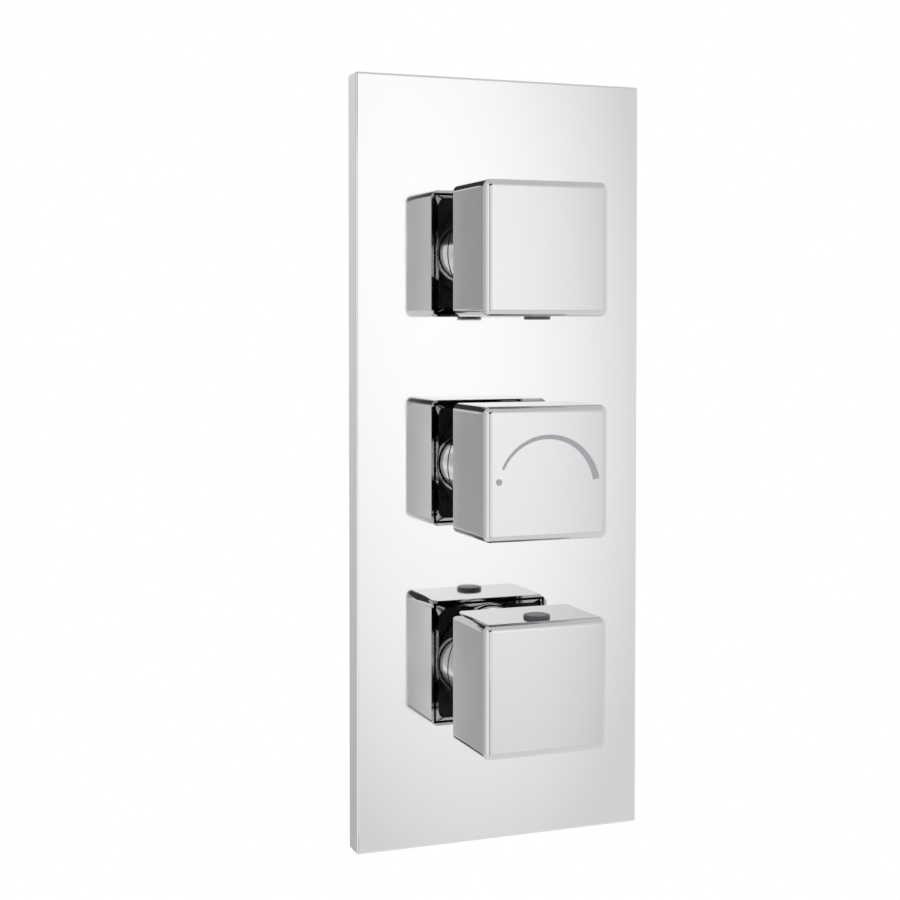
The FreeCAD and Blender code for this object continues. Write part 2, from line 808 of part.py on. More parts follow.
def make_thermostat_housing():
    housing = join(
        rod(neck_radius, neck_front_y, housing_front_y),
        rod(housing_body_radius, housing_front_y, mouth_step_y),
        rod(thermostat_mouth_radius - sliding_clearance, mouth_step_y - housing_flange, mouth_step_y),
        rod(housing_land_radius, mouth_step_y, housing_end_y),
    )
    cuts = [
        rod(spindle_radius + running_clearance, neck_front_y - cut_margin, chamber_start_y + cut_margin),
        rod(chamber_radius, chamber_start_y, housing_end_y + cut_margin),
    ]
    for band_y in (hot_band_y, cold_band_y):
        cuts.append(ring(thermostat_bore_radius, band_floor_radius, band_y, band_y + band_length))
        middle = Vector(0, band_y + band_length / 2, 0)
        window = cross_rod(window_radius, middle, middle.add(Vector(thermostat_bore_radius, 0, 0)))
        cuts += spread(window, window_count)
    cuts += [o_ring_groove(thermostat_bore_radius, y) for y in housing_ring_places]
    cuts += [neck_ring_groove(y) for y in thermostat_neck_rings]
    slot_half = tongue_width / 2 + tongue_slot_clearance
    slot_reach = regulating_nut_radius + tongue_reach + tongue_slot_clearance
    cuts.append(centred_block(slot_half, (chamber_start_y, regulating_nut_end_y + travel_in), slot_reach))
    return housing.cut(cuts)


def make_thermostat_nut():
    thread_end_y = mouth_step_y - housing_flange
    hexagon = hex_prism(retaining_hex, retaining_hex_y - retaining_hex_length, retaining_hex_y)
    thread = rod(thermostat_mouth_radius - sliding_clearance, retaining_hex_y, thread_end_y)
    hole = rod(housing_body_radius + sliding_clearance, retaining_hex_y - retaining_hex_length - cut_margin,
               thread_end_y + cut_margin)
    return join(hexagon, thread).cut(hole)


def make_temperature_spindle():
    """A stem held at its flange, with the thread that moves the regulating nut."""
    flange = rod(regulator_flange_radius, regulator_flange_y, regulator_flange_end_y)
    thread = rod(regulator_thread_radius, regulator_flange_end_y, regulator_thread_end_y)
    return join(spindle_front(regulator_flange_y), flange, thread).cut(spindle_screw_hole())


def make_regulating_nut():
    """It can't turn, because its tongues run in the housing's slots."""
    tongue_y = (regulating_nut_y + tongue_setback, regulating_bore_end_y)
    tongue = centred_block(tongue_width / 2, tongue_y, regulating_nut_radius + tongue_reach)
    bore_radius = regulator_thread_radius + sliding_clearance
    bore = rod(bore_radius, regulating_nut_y - cut_margin, regulating_bore_end_y)
    return join(rod(regulating_nut_radius, regulating_nut_y, regulating_nut_end_y), tongue).cut(bore)


def make_wax_element():
    piston = rod(wax_piston_radius, regulating_nut_end_y, wax_front_y)
    capsule = rod(wax_radius, wax_front_y, shuttle_end_y)
    tail = rod(wax_tail_radius, shuttle_end_y, shuttle_end_y + wax_tail_length)
    return join(piston, capsule, tail)


def make_mixing_shuttle():
    """The sleeve whose two ends share the flow between the hot and the cold windows."""
    sleeve = ring(chamber_radius - running_clearance, shuttle_bore_radius, shuttle_start_y, shuttle_end_y)
    web_y = (shuttle_start_y + shuttle_end_y - shuttle_web) / 2
    web_outer = shuttle_bore_radius + shuttle_wall / 2
    web = ring(web_outer, wax_radius + running_clearance, web_y, web_y + shuttle_web)
    hole_start = around_axis((shuttle_bore_radius + wax_radius) / 2, 0, web_y - cut_margin)
    hole_end = hole_start.add(Vector(0, shuttle_web + 2 * cut_margin, 0))
    hole = cross_rod(shuttle_hole_radius, hole_start, hole_end)
    return join(sleeve, web).cut(spread(hole, shuttle_hole_count))


def make_return_spring():
    start_y = shuttle_end_y + running_clearance
    length = housing_end_y - cage_spigot - running_clearance - start_y
    spring = coil_spring(return_spring_radius, return_spring_wire, return_spring_turns, length)
    return laid_along_y(spring, start_y)


def make_spring_cage():
    spigot_radius = chamber_radius - running_clearance
    end_y = housing_end_y + cage_flange
    spigot = rod(spigot_radius, housing_end_y - cage_spigot, housing_end_y)
    flange = rod(chamber_radius + cage_overhang, housing_end_y, end_y)
    bore = rod(spigot_radius - cage_wall, housing_end_y - cage_spigot - cut_margin, end_y + cut_margin)
    return join(spigot, flange).cut(bore)


def make_cartridge_filters():
    filters = []
    outer = housing_land_radius - sliding_clearance
    half = filter_window_width / 2
    for band_y in (hot_band_y, cold_band_y):
        start_y = band_y + running_clearance
        end_y = band_y + band_length - running_clearance
        sleeve = ring(outer, outer - filter_wall, start_y, end_y)
        window = block((0, thermostat_bore_radius), (start_y + filter_rim, end_y - filter_rim), (-half, half))
        filters.append(sleeve.cut(spread(window, filter_window_count)))
    return group(filters)


def make_stop_ring(lug_angle):
    """A ring on the neck whose lug stands over the sweep of the button's finger."""
    inner = neck_radius + running_clearance
    disc_end_y = neck_front_y + stop_disc
    sleeve = ring(inner + stop_sleeve_wall, inner, neck_front_y, neck_front_y + stop_sleeve_length)
    disc = ring(stop_ring_radius, inner, neck_front_y, disc_end_y)
    lug = sector(stop_lug_inner_radius, stop_ring_radius, lug_angle, stop_lug_angle,
                 neck_front_y - stop_lug_height, disc_end_y)
    return join(sleeve, disc, lug)


# ---------------------------------------------------------------- casting and ports

def at_inlet(shape, side):
    """A shape made along Y from the axis outwards, laid along the inlet on the side -1 or 1."""
    copy = shape.copy()
    copy.rotate(Vector(0, 0, 0), Vector(0, 0, 1), -90 * side)
    copy.translate(Vector(0, inlet_y, lower_axis_z))
    return copy


def port_boss(start, mouth):
    """A round boss that ends in a hexagon for the fitter's spanner."""
    way_out = mouth.sub(start).normalize()
    hexagon = hex_prism(port_hex, -port_hex_length, 0)
    hexagon.Placement = FreeCAD.Placement(mouth, FreeCAD.Rotation(Vector(0, 1, 0), way_out))
    return join(cross_rod(port_boss_radius, start, mouth), hexagon)


def make_valve_casting():
    spine = block((-spine_half_width, spine_half_width), (spine_front_y, casting_back_y),
                  (lower_axis_z, upper_axis_z))
    solids = []
    for height in axis_heights:
        solids.append(raised(rod(barrel_thread_radius, barrel_front_y, collar_seat_y), height))
        solids.append(raised(rod(barrel_radius, collar_seat_y, casting_back_y), height))
    for mouth in (hot_inlet, cold_inlet, side_outlet, top_outlet):
        solids.append(port_boss(Vector(0, mouth.y, min(mouth.z, upper_axis_z)), mouth))
    solids.append(cross_rod(plug_boss_radius, Vector(0, gallery_y, lower_axis_z),
                            Vector(0, gallery_y, plug_boss_end_z)))
    cuts = flow_bores() + thermostat_bores() + bracket_screw_holes()
    cuts += outlet_bores(side_outlet, Vector(0, outlet_y, middle_axis_z))
    cuts += outlet_bores(top_outlet, Vector(0, outlet_y, upper_axis_z))
    cuts += inlet_bores(-1, hot_band_y)
    cuts += inlet_bores(1, cold_band_y)
    cuts += [raised(o_ring_groove(collar_inner_radius, collar_ring_y), height) for height in axis_heights]
    return join(spine, *solids).cut(cuts)


def flow_bores():
    """The two flow cartridges' bores, and the gallery that feeds them from below."""
    bores = []
    for height in (upper_axis_z, middle_axis_z):
        bores.append(raised(rod(flow_bore_radius, barrel_front_y - cut_margin, flow_floor_y), height))
        bores.append(raised(rod(passage_radius, flow_floor_y - cut_margin, gallery_y), height))
    low = Vector(0, gallery_y, plug_boss_end_z)
    bores.append(cross_rod(gallery_radius, low, Vector(0, gallery_y, upper_axis_z)))
    bores.append(cross_rod(plug_radius, low.sub(Vector(0, 0, cut_margin)), low.add(Vector(0, 0, plug_depth))))
    return bores


def thermostat_bores():
    mouth = rod(thermostat_mouth_radius, barrel_front_y - cut_margin, mouth_step_y)
    bore = rod(thermostat_bore_radius, barrel_front_y - cut_margin, thermostat_floor_y)
    return [raised(mouth, lower_axis_z), raised(bore, lower_axis_z)]


def outlet_bores(mouth, start):
    """The socket for the outlet pipe and the passage to it from the barrel."""
    way_out = mouth.sub(start).normalize()
    inside = mouth.sub(Vector(way_out).multiply(port_depth))
    return [cross_rod(port_radius, inside, mouth.add(way_out)), cross_rod(passage_radius, start, mouth)]


def inlet_bores(side, band_y):
    """A socket, the check valve's pocket, and the cored way round to the cartridge's band."""
    middle_y = band_y + band_length / 2
    half_port = check_seat_radius / 2
    core_y = (min(inlet_y, middle_y) - half_port, max(inlet_y, middle_y) + half_port)
    core_z = (lower_axis_z - core_half_height, lower_axis_z + core_half_height)
    window_x = (side * (thermostat_bore_radius - core_wall), side * (core_inner + cut_margin))
    window_y = (middle_y - window_radius, middle_y + window_radius)
    window_z = (lower_axis_z - core_window_half_height, lower_axis_z + core_window_half_height)
    return [
        at_inlet(rod(port_radius, port_floor, port_reach + cut_margin), side),
        at_inlet(rod(check_pocket_radius, check_pocket_start, port_floor + cut_margin), side),
        at_inlet(rod(check_seat_radius, core_outer - cut_margin, check_pocket_start + cut_margin), side),
        block((side * core_inner, side * core_outer), core_y, core_z),
        block(window_x, window_y, window_z),
    ]


def make_gallery_plug():
    low = Vector(0, gallery_y, plug_boss_end_z)
    thread = cross_rod(plug_radius - running_clearance, low, low.add(Vector(0, 0, plug_depth - seat_gap)))
    head = hex_prism(plug_hex, 0, plug_head)
    head.rotate(Vector(0, 0, 0), Vector(1, 0, 0), -90)
    head.translate(low)
    return join(thread, head)


# ---------------------------------------------------------------- bracket

def at_bracket_screws(shape):
    across = (-bracket_screw_from_middle, bracket_screw_from_middle)
    places = [(x, z) for z in bracket_screw_heights for x in across]
    return [shape.translated(Vector(x, 0, z)) for x, z in places]


def countersunk(radius, head_radius, start_y, end_y):
    """A countersunk screw shape along Y whose flat head ends at end_y."""
    cone_depth = head_radius - radius
    cone = Part.makeCone(radius, head_radius, cone_depth, Vector(0, end_y - cone_depth, 0), Vector(0, 1, 0))
    return join(rod(radius, start_y, end_y - cone_depth), cone)


def bracket_screw_holes():
    start_y = bracket_back_y - bracket_screw_length - cut_margin
    hole = rod(bracket_screw_radius + running_clearance, start_y, casting_back_y + cut_margin)
    return at_bracket_screws(hole)


def make_bracket_screws():
    head_y = bracket_back_y - sliding_clearance
    tip_y = head_y - bracket_screw_length
    screw = countersunk(bracket_screw_radius, bracket_screw_head_radius, tip_y, head_y)
    key = hex_prism(bracket_screw_key / 2, head_y - bracket_screw_key_depth, head_y + cut_margin)
    return group(at_bracket_screws(screw.cut(key)))


def make_mounting_bracket():
    bracket = centred_block(bracket_width / 2, (casting_back_y, bracket_back_y), bracket_height / 2)
    corners = [edge for edge in bracket.Edges if edge.BoundBox.YLength > bracket_thickness / 2]
    bracket = bracket.makeFillet(bracket_corner_round, corners)
    hole = rod(bracket_hole_radius, casting_back_y - cut_margin, bracket_back_y + cut_margin)
    holes = [hole.translated(Vector(x, 0, z)) for x in (-bracket_hole_x, bracket_hole_x)
             for z in (-bracket_hole_z, bracket_hole_z)]
    cutter_radii = (bracket_screw_radius + sliding_clearance, bracket_screw_head_radius + sliding_clearance)
    cutter = countersunk(*cutter_radii, casting_back_y - cut_margin, bracket_back_y)
    return bracket.cut(holes + at_bracket_screws(cutter))


# ---------------------------------------------------------------- check valves

def make_check_body(side):
    shell = ring(check_body_radius, check_bore_radius, check_body_start, check_body_end)
    middle_radius = (check_body_radius + check_bore_radius) / 2
    seat = ring(middle_radius, check_seat_radius, check_seat_start, check_body_end)
    hub = rod(spider_hub_radius, check_body_start, spider_end)
    half = spider_spoke / 2
    spoke = block((0, middle_radius), (check_body_start, spider_end), (-half, half))
    guide_radius = poppet_stem_radius + sliding_clearance
    guide = rod(guide_radius, check_body_start - cut_margin, spider_end + cut_margin)
    return at_inlet(join(shell, seat, hub, *spread(spoke, spider_spoke_count)).cut(guide), side)


def make_check_poppet(side):
    stem = rod(poppet_stem_radius, check_body_start + sliding_clearance, poppet_back)
    disc = rod(poppet_radius, poppet_back, poppet_back + poppet_thickness)
    return at_inlet(join(stem, disc), side)


def make_check_spring(side):
    length = poppet_back - spider_end - 2 * running_clearance
    spring = coil_spring(check_spring_radius, check_spring_wire, check_spring_turns, length)
    return at_inlet(laid_along_y(spring, spider_end + running_clearance), side)


def make_inlet_strainers():
    start = check_body_end + sliding_clearance
    disc = rod(check_body_radius, start, start + strainer_thickness)
    for circle, count in ((0, 1), (1, 6), (2, 12)):
        hole_start = around_axis(circle * strainer_hole_pitch, 0, start - cut_margin)
        hole_end = hole_start.add(Vector(0, strainer_thickness + 2 * cut_margin, 0))
        disc = disc.cut(spread(cross_rod(strainer_hole_radius, hole_start, hole_end), count))
    return group([at_inlet(disc, -1), at_inlet(disc, 1)])


# ---------------------------------------------------------------- writing the pieces

def save_knob(prefix, axis_z, turn, shell, carrier, spindle):
    """The pieces that turn together on one axis; a turn of 180 puts the button underneath."""
    pieces = {
        "knob_shell": shell,
        "knob_carrier": carrier,
        "grub_screw": make_grub_screw(),
        "knob_screw": make_knob_screw(),
        "spindle": spindle,
    }
    for name, shape in pieces.items():
        save(raised(turned(shape, turn), axis_z), prefix + "_" + name)


def save_button(prefix, axis_z, turn):
    save(raised(turned(make_button(), turn), axis_z), prefix + "_button")
    save(raised(turned(make_button_spring(), turn), axis_z), prefix + "_button_spring")


def save_flow_cartridge(prefix, axis_z):
    save(raised(make_bonnet(), axis_z), prefix + "_bonnet")
    save(raised(make_turning_disc(), axis_z), prefix + "_turning_disc")
    save(raised(make_fixed_disc(), axis_z), prefix + "_fixed_disc")
    save(raised(make_base_seal(), axis_z), prefix + "_base_seal")


def save_knobs():
    save_knob("upper", upper_axis_z, 180, make_button_shell(), make_button_carrier(), make_flow_spindle())
    save_knob("middle", middle_axis_z, 0, make_plain_shell(), make_plain_carrier(), make_flow_spindle())
    save_knob("temperature", lower_axis_z, 0, make_button_shell(), make_button_carrier(),
              make_temperature_spindle())
    save_button("upper", upper_axis_z, 180)
    save_button("temperature", lower_axis_z, 0)


def save_cartridges():
    save_flow_cartridge("upper", upper_axis_z)
    save_flow_cartridge("middle", middle_axis_z)
    save(raised(make_stop_ring(flow_stop_angle), upper_axis_z), "flow_stop_ring")
    thermostat = {
        "thermostat_housing": make_thermostat_housing(),
        "thermostat_nut": make_thermostat_nut(),
        "regulating_nut": make_regulating_nut(),
        "wax_element": make_wax_element(),
        "mixing_shuttle": make_mixing_shuttle(),
        "return_spring": make_return_spring(),
        "spring_cage": make_spring_cage(),
        "cartridge_filters": make_cartridge_filters(),
        "temperature_stop_ring": make_stop_ring(temperature_stop_angle),
    }
    for name, shape in thermostat.items():
        save(raised(shape, lower_axis_z), name)


def save_seals():
    flow_axes = (upper_axis_z, middle_axis_z)
    collar_rings = [raised(o_ring(collar_inner_radius, collar_ring_y), z) for z in axis_heights]
    save(group(collar_rings), "collar_o_rings")
    save(group([raised(o_ring(flow_bore_radius, bonnet_ring_y), z) for z in flow_axes]), "bonnet_o_rings")
    housing_rings = [o_ring(thermostat_bore_radius, y) for y in housing_ring_places]
    save(group([raised(shape, lower_axis_z) for shape in housing_rings]), "thermostat_o_rings")
    neck_rings = [raised(neck_ring(y), z) for z in flow_axes for y in flow_neck_rings]
    neck_rings += [raised(neck_ring(y), lower_axis_z) for y in thermostat_neck_rings]
    save(group(neck_rings), "stem_o_rings")


def save_fixed_pieces():
    save(make_face_plate(), "face_plate")
    save(make_plate_gasket(), "plate_gasket")
    save(make_hole_seals(), "plate_hole_seals")
    for name, height in (("upper", upper_axis_z), ("middle", middle_axis_z), ("lower", lower_axis_z)):
        save(raised(make_collar(), height), name + "_collar")
    save(make_valve_casting(), "valve_casting")
    save(make_gallery_plug(), "gallery_plug")
    save(make_mounting_bracket(), "mounting_bracket")
    save(make_bracket_screws(), "bracket_screws")
    for name, side in (("hot", -1), ("cold", 1)):
        save(make_check_body(side), name + "_check_body")
        save(make_check_poppet(side), name + "_check_poppet")
        save(make_check_spring(side), name + "_check_spring")
    save(make_inlet_strainers(), "inlet_strainers")


save_knobs()
save_cartridges()
save_seals()
save_fixed_pieces()
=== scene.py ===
# %% [markdown]
# # A concealed thermostatic shower valve
# The real object is one tall chrome faceplate with three square knobs, and a brass valve body that
# the wall hides. The measured model comes from CAD, so this script leaves every size and place as
# it is. It dresses the pieces: it makes the mirror-bright ones again with clean edges, and it gives
# each piece the finish that it has on the real valve. Lengths are in metres.

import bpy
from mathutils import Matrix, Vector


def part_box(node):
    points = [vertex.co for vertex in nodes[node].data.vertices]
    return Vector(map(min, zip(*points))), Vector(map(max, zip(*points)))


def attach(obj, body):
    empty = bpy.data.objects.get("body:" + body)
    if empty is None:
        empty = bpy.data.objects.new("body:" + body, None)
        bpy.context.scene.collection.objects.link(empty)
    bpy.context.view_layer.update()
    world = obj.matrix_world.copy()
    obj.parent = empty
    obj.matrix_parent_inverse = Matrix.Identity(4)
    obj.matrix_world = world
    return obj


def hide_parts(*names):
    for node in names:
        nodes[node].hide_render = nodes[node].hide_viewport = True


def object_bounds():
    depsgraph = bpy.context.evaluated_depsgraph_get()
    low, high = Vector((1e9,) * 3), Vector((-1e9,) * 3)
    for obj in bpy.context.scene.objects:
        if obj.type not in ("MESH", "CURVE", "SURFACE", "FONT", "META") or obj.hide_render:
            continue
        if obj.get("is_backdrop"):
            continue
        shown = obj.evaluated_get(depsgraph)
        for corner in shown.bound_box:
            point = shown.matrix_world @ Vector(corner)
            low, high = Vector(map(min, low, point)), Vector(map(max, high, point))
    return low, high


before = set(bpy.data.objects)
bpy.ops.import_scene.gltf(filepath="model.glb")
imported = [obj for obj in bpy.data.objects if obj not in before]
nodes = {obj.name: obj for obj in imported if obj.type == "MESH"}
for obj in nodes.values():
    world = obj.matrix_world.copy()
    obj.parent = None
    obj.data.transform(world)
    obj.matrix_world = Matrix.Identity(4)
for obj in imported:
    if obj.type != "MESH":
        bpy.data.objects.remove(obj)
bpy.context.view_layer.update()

# %% Blender's own modules, and a word for millimetres
import math

import bmesh
import bpy
from mathutils import Matrix, Vector

mm = 0.001

# %% [markdown]
# ## Tools for finishes
# A colour is easiest to compare with a paint chart or a screen as an sRGB hex code, but a shader
# needs linear light. One function turns the first into the second. Each finish then starts from the
# Principled shader, and one small function adds any further node with its settings and links.

# %% Colours, nodes and new materials
def linear(hex_code):
    """The linear colour of an sRGB hex code, with full alpha."""
    shares = [int(hex_code[i:i + 2], 16) / 255 for i in (0, 2, 4)]
    return [s / 12.92 if s <= 0.04045 else ((s + 0.055) / 1.055) ** 2.4 for s in shares] + [1.0]


def add_node(tree, kind, inputs=None, **settings):
    """A new node. An input takes a number, a colour or another node's output."""
    made = tree.nodes.new(kind)
    for key, value in settings.items():
        setattr(made, key, value)
    for key, value in (inputs or {}).items():
        if isinstance(value, bpy.types.NodeSocket):
            tree.links.new(value, made.inputs[key])
        else:
            made.inputs[key].default_value = value
    return made


def new_finish(name, colour, metallic, roughness):
    """A material with one value for each setting, its tree, its shader and the coordinates."""
    finish = bpy.data.materials.new(name)
    finish.use_nodes = True
    tree = finish.node_tree
    shader = tree.nodes["Principled BSDF"]
    shader.inputs["Base Color"].default_value = linear(colour)
    shader.inputs["Metallic"].default_value = metallic
    shader.inputs["Roughness"].default_value = roughness
    place = add_node(tree, "ShaderNodeTexCoord").outputs["Object"]
    return finish, tree, shader, place

# %% [markdown]
# ## What a worker's hands and tools leave on a surface
# No real surface is the same all over. Three things vary on nearly all of them: the colour, the
# shine and the relief. Each is a soft cloudy pattern here, whose size comes from the real one.

# %% A cloudy value, and what it can vary
# The Mix node keeps the sockets of all its data types side by side, so its colours go by number.
first_colour, second_colour, mixed_colour = 6, 7, 2


def per_metre(size):
    """The Scale of a texture whose features are about this many metres across."""
    return 1 / size


def mottle(tree, place, size, low=0.0, high=1.0, detail=3.0):
    """A soft cloudy value between low and high, whose clouds are about size across."""
    cloud = add_node(tree, "ShaderNodeTexNoise",
                     {"Vector": place, "Scale": per_metre(size), "Detail": detail})
    # Most of a noise lies between 0.3 and 0.7, so that part is spread over the whole range.
    spread = add_node(tree, "ShaderNodeMapRange",
                      {"Value": cloud.outputs["Fac"], "From Min": 0.3, "From Max": 0.7,
                       "To Min": low, "To Max": high})
    return spread.outputs["Result"]


def tint(tree, shader, amount, first, second):
    """The colour goes from the first hex code to the second as the amount goes from 0 to 1."""
    mix = add_node(tree, "ShaderNodeMix", {"Factor": amount}, data_type="RGBA")
    mix.inputs[first_colour].default_value = linear(first)
    mix.inputs[second_colour].default_value = linear(second)
    tree.links.new(mix.outputs[mixed_colour], shader.inputs["Base Color"])


def vary_shine(tree, shader, place, size, low, high):
    """The roughness drifts between low and high, in clouds that are about size across."""
    tree.links.new(mottle(tree, place, size, low, high), shader.inputs["Roughness"])


def dent(tree, shader, height, depth, strength=1.0):
    """Small relief: the height value, 0 to 1, stands for this many metres."""
    bump = add_node(tree, "ShaderNodeBump",
                    {"Height": height, "Distance": depth, "Strength": strength})
    tree.links.new(bump.outputs["Normal"], shader.inputs["Normal"])


print("a pattern of 25 mm clouds has a scale of", round(per_metre(25 * mm)))

# %% [markdown]
# ## Chrome
# The plate, the collars and the knobs are brass or zinc that is polished and plated with chromium.
# Chrome has almost no colour of its own: it shows what stands round it. What makes it look real is
# the faint haze that polishing leaves, so the roughness drifts a little across each face. The
# knobs' chrome is painted a little darker than the plate's, which is painted shade, and the
# collars' chrome a little brighter, which is painted light, as in the photograph.

# %% Polished chrome plate
def chrome_plate(name, colour):
    """A mirror with a faint haze, and ripples too shallow to feel."""
    finish, tree, shader, place = new_finish(name, colour, 1.0, 0.05)
    vary_shine(tree, shader, place, 25 * mm, 0.03, 0.075)
    dent(tree, shader, mottle(tree, place, 9 * mm, detail=1.0), 0.002 * mm, 0.5)
    return finish


plate_chrome = chrome_plate("polished_chrome_on_pressed_brass", "DADADA")
# Painted shade: the knobs' chrome is set darker than the plate's. Painted light: the collars'
# chrome is set brighter.
knob_chrome_with_painted_shade = chrome_plate("chrome_on_cast_zinc_with_painted_shade", "CCCCCD")
collar_chrome_with_painted_light = chrome_plate("chrome_on_turned_brass_with_painted_light", "E8E8E9")
print("chrome finishes:", plate_chrome.name, knob_chrome_with_painted_shade.name, collar_chrome_with_painted_light.name)

# %% Laser-etched chrome, for the scale
# The laser's pits are too fine to see one by one. They only take the shine away.
etched_chrome, tree, shader, place = new_finish("laser_etched_chrome", "A9A8AE", 1.0, 0.42)
dent(tree, shader, mottle(tree, place, 0.15 * mm), 0.01 * mm)
print("the scale's finish:", etched_chrome.name)

# %% [markdown]
# ## Plastics and rubber
# The carrier inside each knob is moulded black ABS, with the fine spark-eroded texture of its
# mould. The push buttons are a smooth dark-grey acetal. Inside, the slippery white pieces are
# natural acetal. Seals are black EPDM rubber, and the strip behind the plate is foam with visible
# cells.

# %% Moulded plastics
black_abs, tree, shader, place = new_finish("moulded_black_abs", "0E0E10", 0.0, 0.5)
dent(tree, shader, mottle(tree, place, 0.4 * mm), 0.02 * mm)

grey_acetal, tree, shader, place = new_finish("smooth_dark_grey_acetal", "4A4B50", 0.0, 0.32)
dent(tree, shader, mottle(tree, place, 1.5 * mm), 0.004 * mm)
vary_shine(tree, shader, place, 4 * mm, 0.27, 0.4)

# Light goes about a millimetre into unpigmented acetal before it comes out again.
white_acetal, tree, shader, place = new_finish("natural_acetal", "E6E4DC", 0.0, 0.35)
shader.inputs["Subsurface Weight"].default_value = 0.1
shader.inputs["Subsurface Scale"].default_value = 1 * mm
vary_shine(tree, shader, place, 6 * mm, 0.3, 0.45)
print("plastics:", black_abs.name, grey_acetal.name, white_acetal.name)

# %% Rubber and foam
epdm, tree, shader, place = new_finish("epdm_rubber", "151515", 0.0, 0.6)
tint(tree, shader, mottle(tree, place, 3 * mm), "121212", "1E1D1C")
dent(tree, shader, mottle(tree, place, 0.5 * mm), 0.02 * mm)

foam, tree, shader, place = new_finish("closed_cell_foam", "262627", 0.0, 0.9)
cells = add_node(tree, "ShaderNodeTexVoronoi", {"Vector": place, "Scale": per_metre(0.8 * mm)})
dent(tree, shader, cells.outputs["Distance"], 0.3 * mm)
# Painted shade: the colour follows the cells' relief, darkest in the middle of each cell, where its
# pit is deepest.
tint(tree, shader, cells.outputs["Distance"], "1B1B1C", "39393B")
print("soft materials:", epdm.name, foam.name)

# %% [markdown]
# ## Brass, steel and ceramic
# The body is sand-cast brass: its skin is dull, grainy and a little uneven in colour, because it
# oxidises as it cools. Turned pieces show fine rings from the lathe round their own axis. Pressed
# steel is zinc-plated, a pale grey with cloudy crystals. The discs are lapped white alumina.

# %% Cast brass
cast_brass, tree, shader, place = new_finish("sand_cast_brass", "B08D4F", 1.0, 0.45)
tint(tree, shader, mottle(tree, place, 14 * mm, detail=6.0), "9A7A42", "C6A463")
vary_shine(tree, shader, place, 5 * mm, 0.34, 0.58)
dent(tree, shader, mottle(tree, place, 0.9 * mm, detail=4.0), 0.12 * mm)
print("the casting's finish:", cast_brass.name)

# %% Turned brass and drawn copper
# A lathe moves on by 0.1 to 0.2 mm at each turn, which is too fine to show, so the rings are wider.
lathe_feed = 0.35 * mm

turned_brass, tree, shader, place = new_finish("turned_brass", "D8B56A", 1.0, 0.22)
tint(tree, shader, mottle(tree, place, 8 * mm), "CDA65A", "DDBE78")
vary_shine(tree, shader, place, 3 * mm, 0.17, 0.3)
along = add_node(tree, "ShaderNodeSeparateXYZ", {"Vector": place}).outputs["Y"]
turns = add_node(tree, "ShaderNodeMath", {0: along, 1: 2 * math.pi * per_metre(lathe_feed)},
                 operation="MULTIPLY")
rings = add_node(tree, "ShaderNodeMath", {0: turns.outputs["Value"]}, operation="SINE")
dent(tree, shader, rings.outputs["Value"], 0.004 * mm)

copper, tree, shader, place = new_finish("drawn_copper", "C98A62", 1.0, 0.25)
tint(tree, shader, mottle(tree, place, 4 * mm), "B97750", "D49A72")
print("turned and drawn metals:", turned_brass.name, copper.name)

# %% Steel and ceramic
zinc_steel, tree, shader, place = new_finish("zinc_plated_steel", "B9BCBD", 1.0, 0.36)
crystals = add_node(tree, "ShaderNodeTexVoronoi", {"Vector": place, "Scale": per_metre(7 * mm)})
tint(tree, shader, crystals.outputs["Distance"], "B1B4B6", "C0C3C3")
vary_shine(tree, shader, place, 2 * mm, 0.3, 0.46)
dent(tree, shader, mottle(tree, place, 0.6 * mm), 0.01 * mm)

stainless, tree, shader, place = new_finish("stainless_steel", "B4B4B3", 1.0, 0.25)
vary_shine(tree, shader, place, 1 * mm, 0.2, 0.34)

alumina, tree, shader, place = new_finish("lapped_alumina", "EFEDE6", 0.0, 0.18)
vary_shine(tree, shader, place, 3 * mm, 0.12, 0.25)
print(len(bpy.data.materials), "materials so far")

# %% [markdown]
# ## Which finish each piece has
# Every piece from CAD gets its real finish, also the ones that no camera sees, because the valve
# may be opened or posed later.

# %% List the finishes
finish_of = {
    "face_plate": plate_chrome, "plate_gasket": foam, "plate_hole_seals": epdm,
    "valve_casting": cast_brass, "gallery_plug": turned_brass,
    "mounting_bracket": zinc_steel, "bracket_screws": zinc_steel,
    "thermostat_housing": turned_brass, "thermostat_nut": turned_brass,
    "regulating_nut": turned_brass, "wax_element": copper,
    "mixing_shuttle": white_acetal, "spring_cage": white_acetal, "return_spring": stainless,
    "cartridge_filters": stainless, "inlet_strainers": stainless,
    "temperature_stop_ring": white_acetal, "flow_stop_ring": white_acetal,
    "collar_o_rings": epdm, "bonnet_o_rings": epdm, "stem_o_rings": epdm,
    "thermostat_o_rings": epdm,
}
for side in ("hot", "cold"):
    finish_of.update({side + "_check_body": white_acetal, side + "_check_poppet": white_acetal,
                      side + "_check_spring": stainless})
for row in ("upper", "middle"):
    finish_of.update({row + "_bonnet": turned_brass, row + "_turning_disc": alumina,
                      row + "_fixed_disc": alumina, row + "_base_seal": epdm})
for row in ("upper", "middle", "temperature"):
    finish_of.update({row + "_knob_shell": knob_chrome_with_painted_shade, row + "_knob_carrier": black_abs,
                      row + "_grub_screw": stainless, row + "_knob_screw": stainless,
                      row + "_spindle": turned_brass})
for row in ("upper", "temperature"):
    finish_of.update({row + "_button": grey_acetal, row + "_button_spring": stainless})
for row in ("upper", "middle", "lower"):
    finish_of[row + "_collar"] = collar_chrome_with_painted_light
print("finishes are listed for", len(finish_of), "pieces")

# %% Give each CAD piece its finish
def dress(shape, finish):
    """Puts one material on an object, in place of what it had."""
    shape.data.materials.clear()
    shape.data.materials.append(finish)


for name, shape in nodes.items():
    dress(shape, finish_of[name])
print("dressed", len(nodes), "pieces; left over:", sorted(set(finish_of) - set(nodes)))

# %% [markdown]
# ## Tools for shapes
# A mirror finish shows every fault in a surface's shading. A rounded edge between two flat faces
# needs smooth shading, but then the flat faces would look bent. The Bevel modifier can harden its
# normals: the flat faces keep their own, and only the rounded edge turns from one to the other.

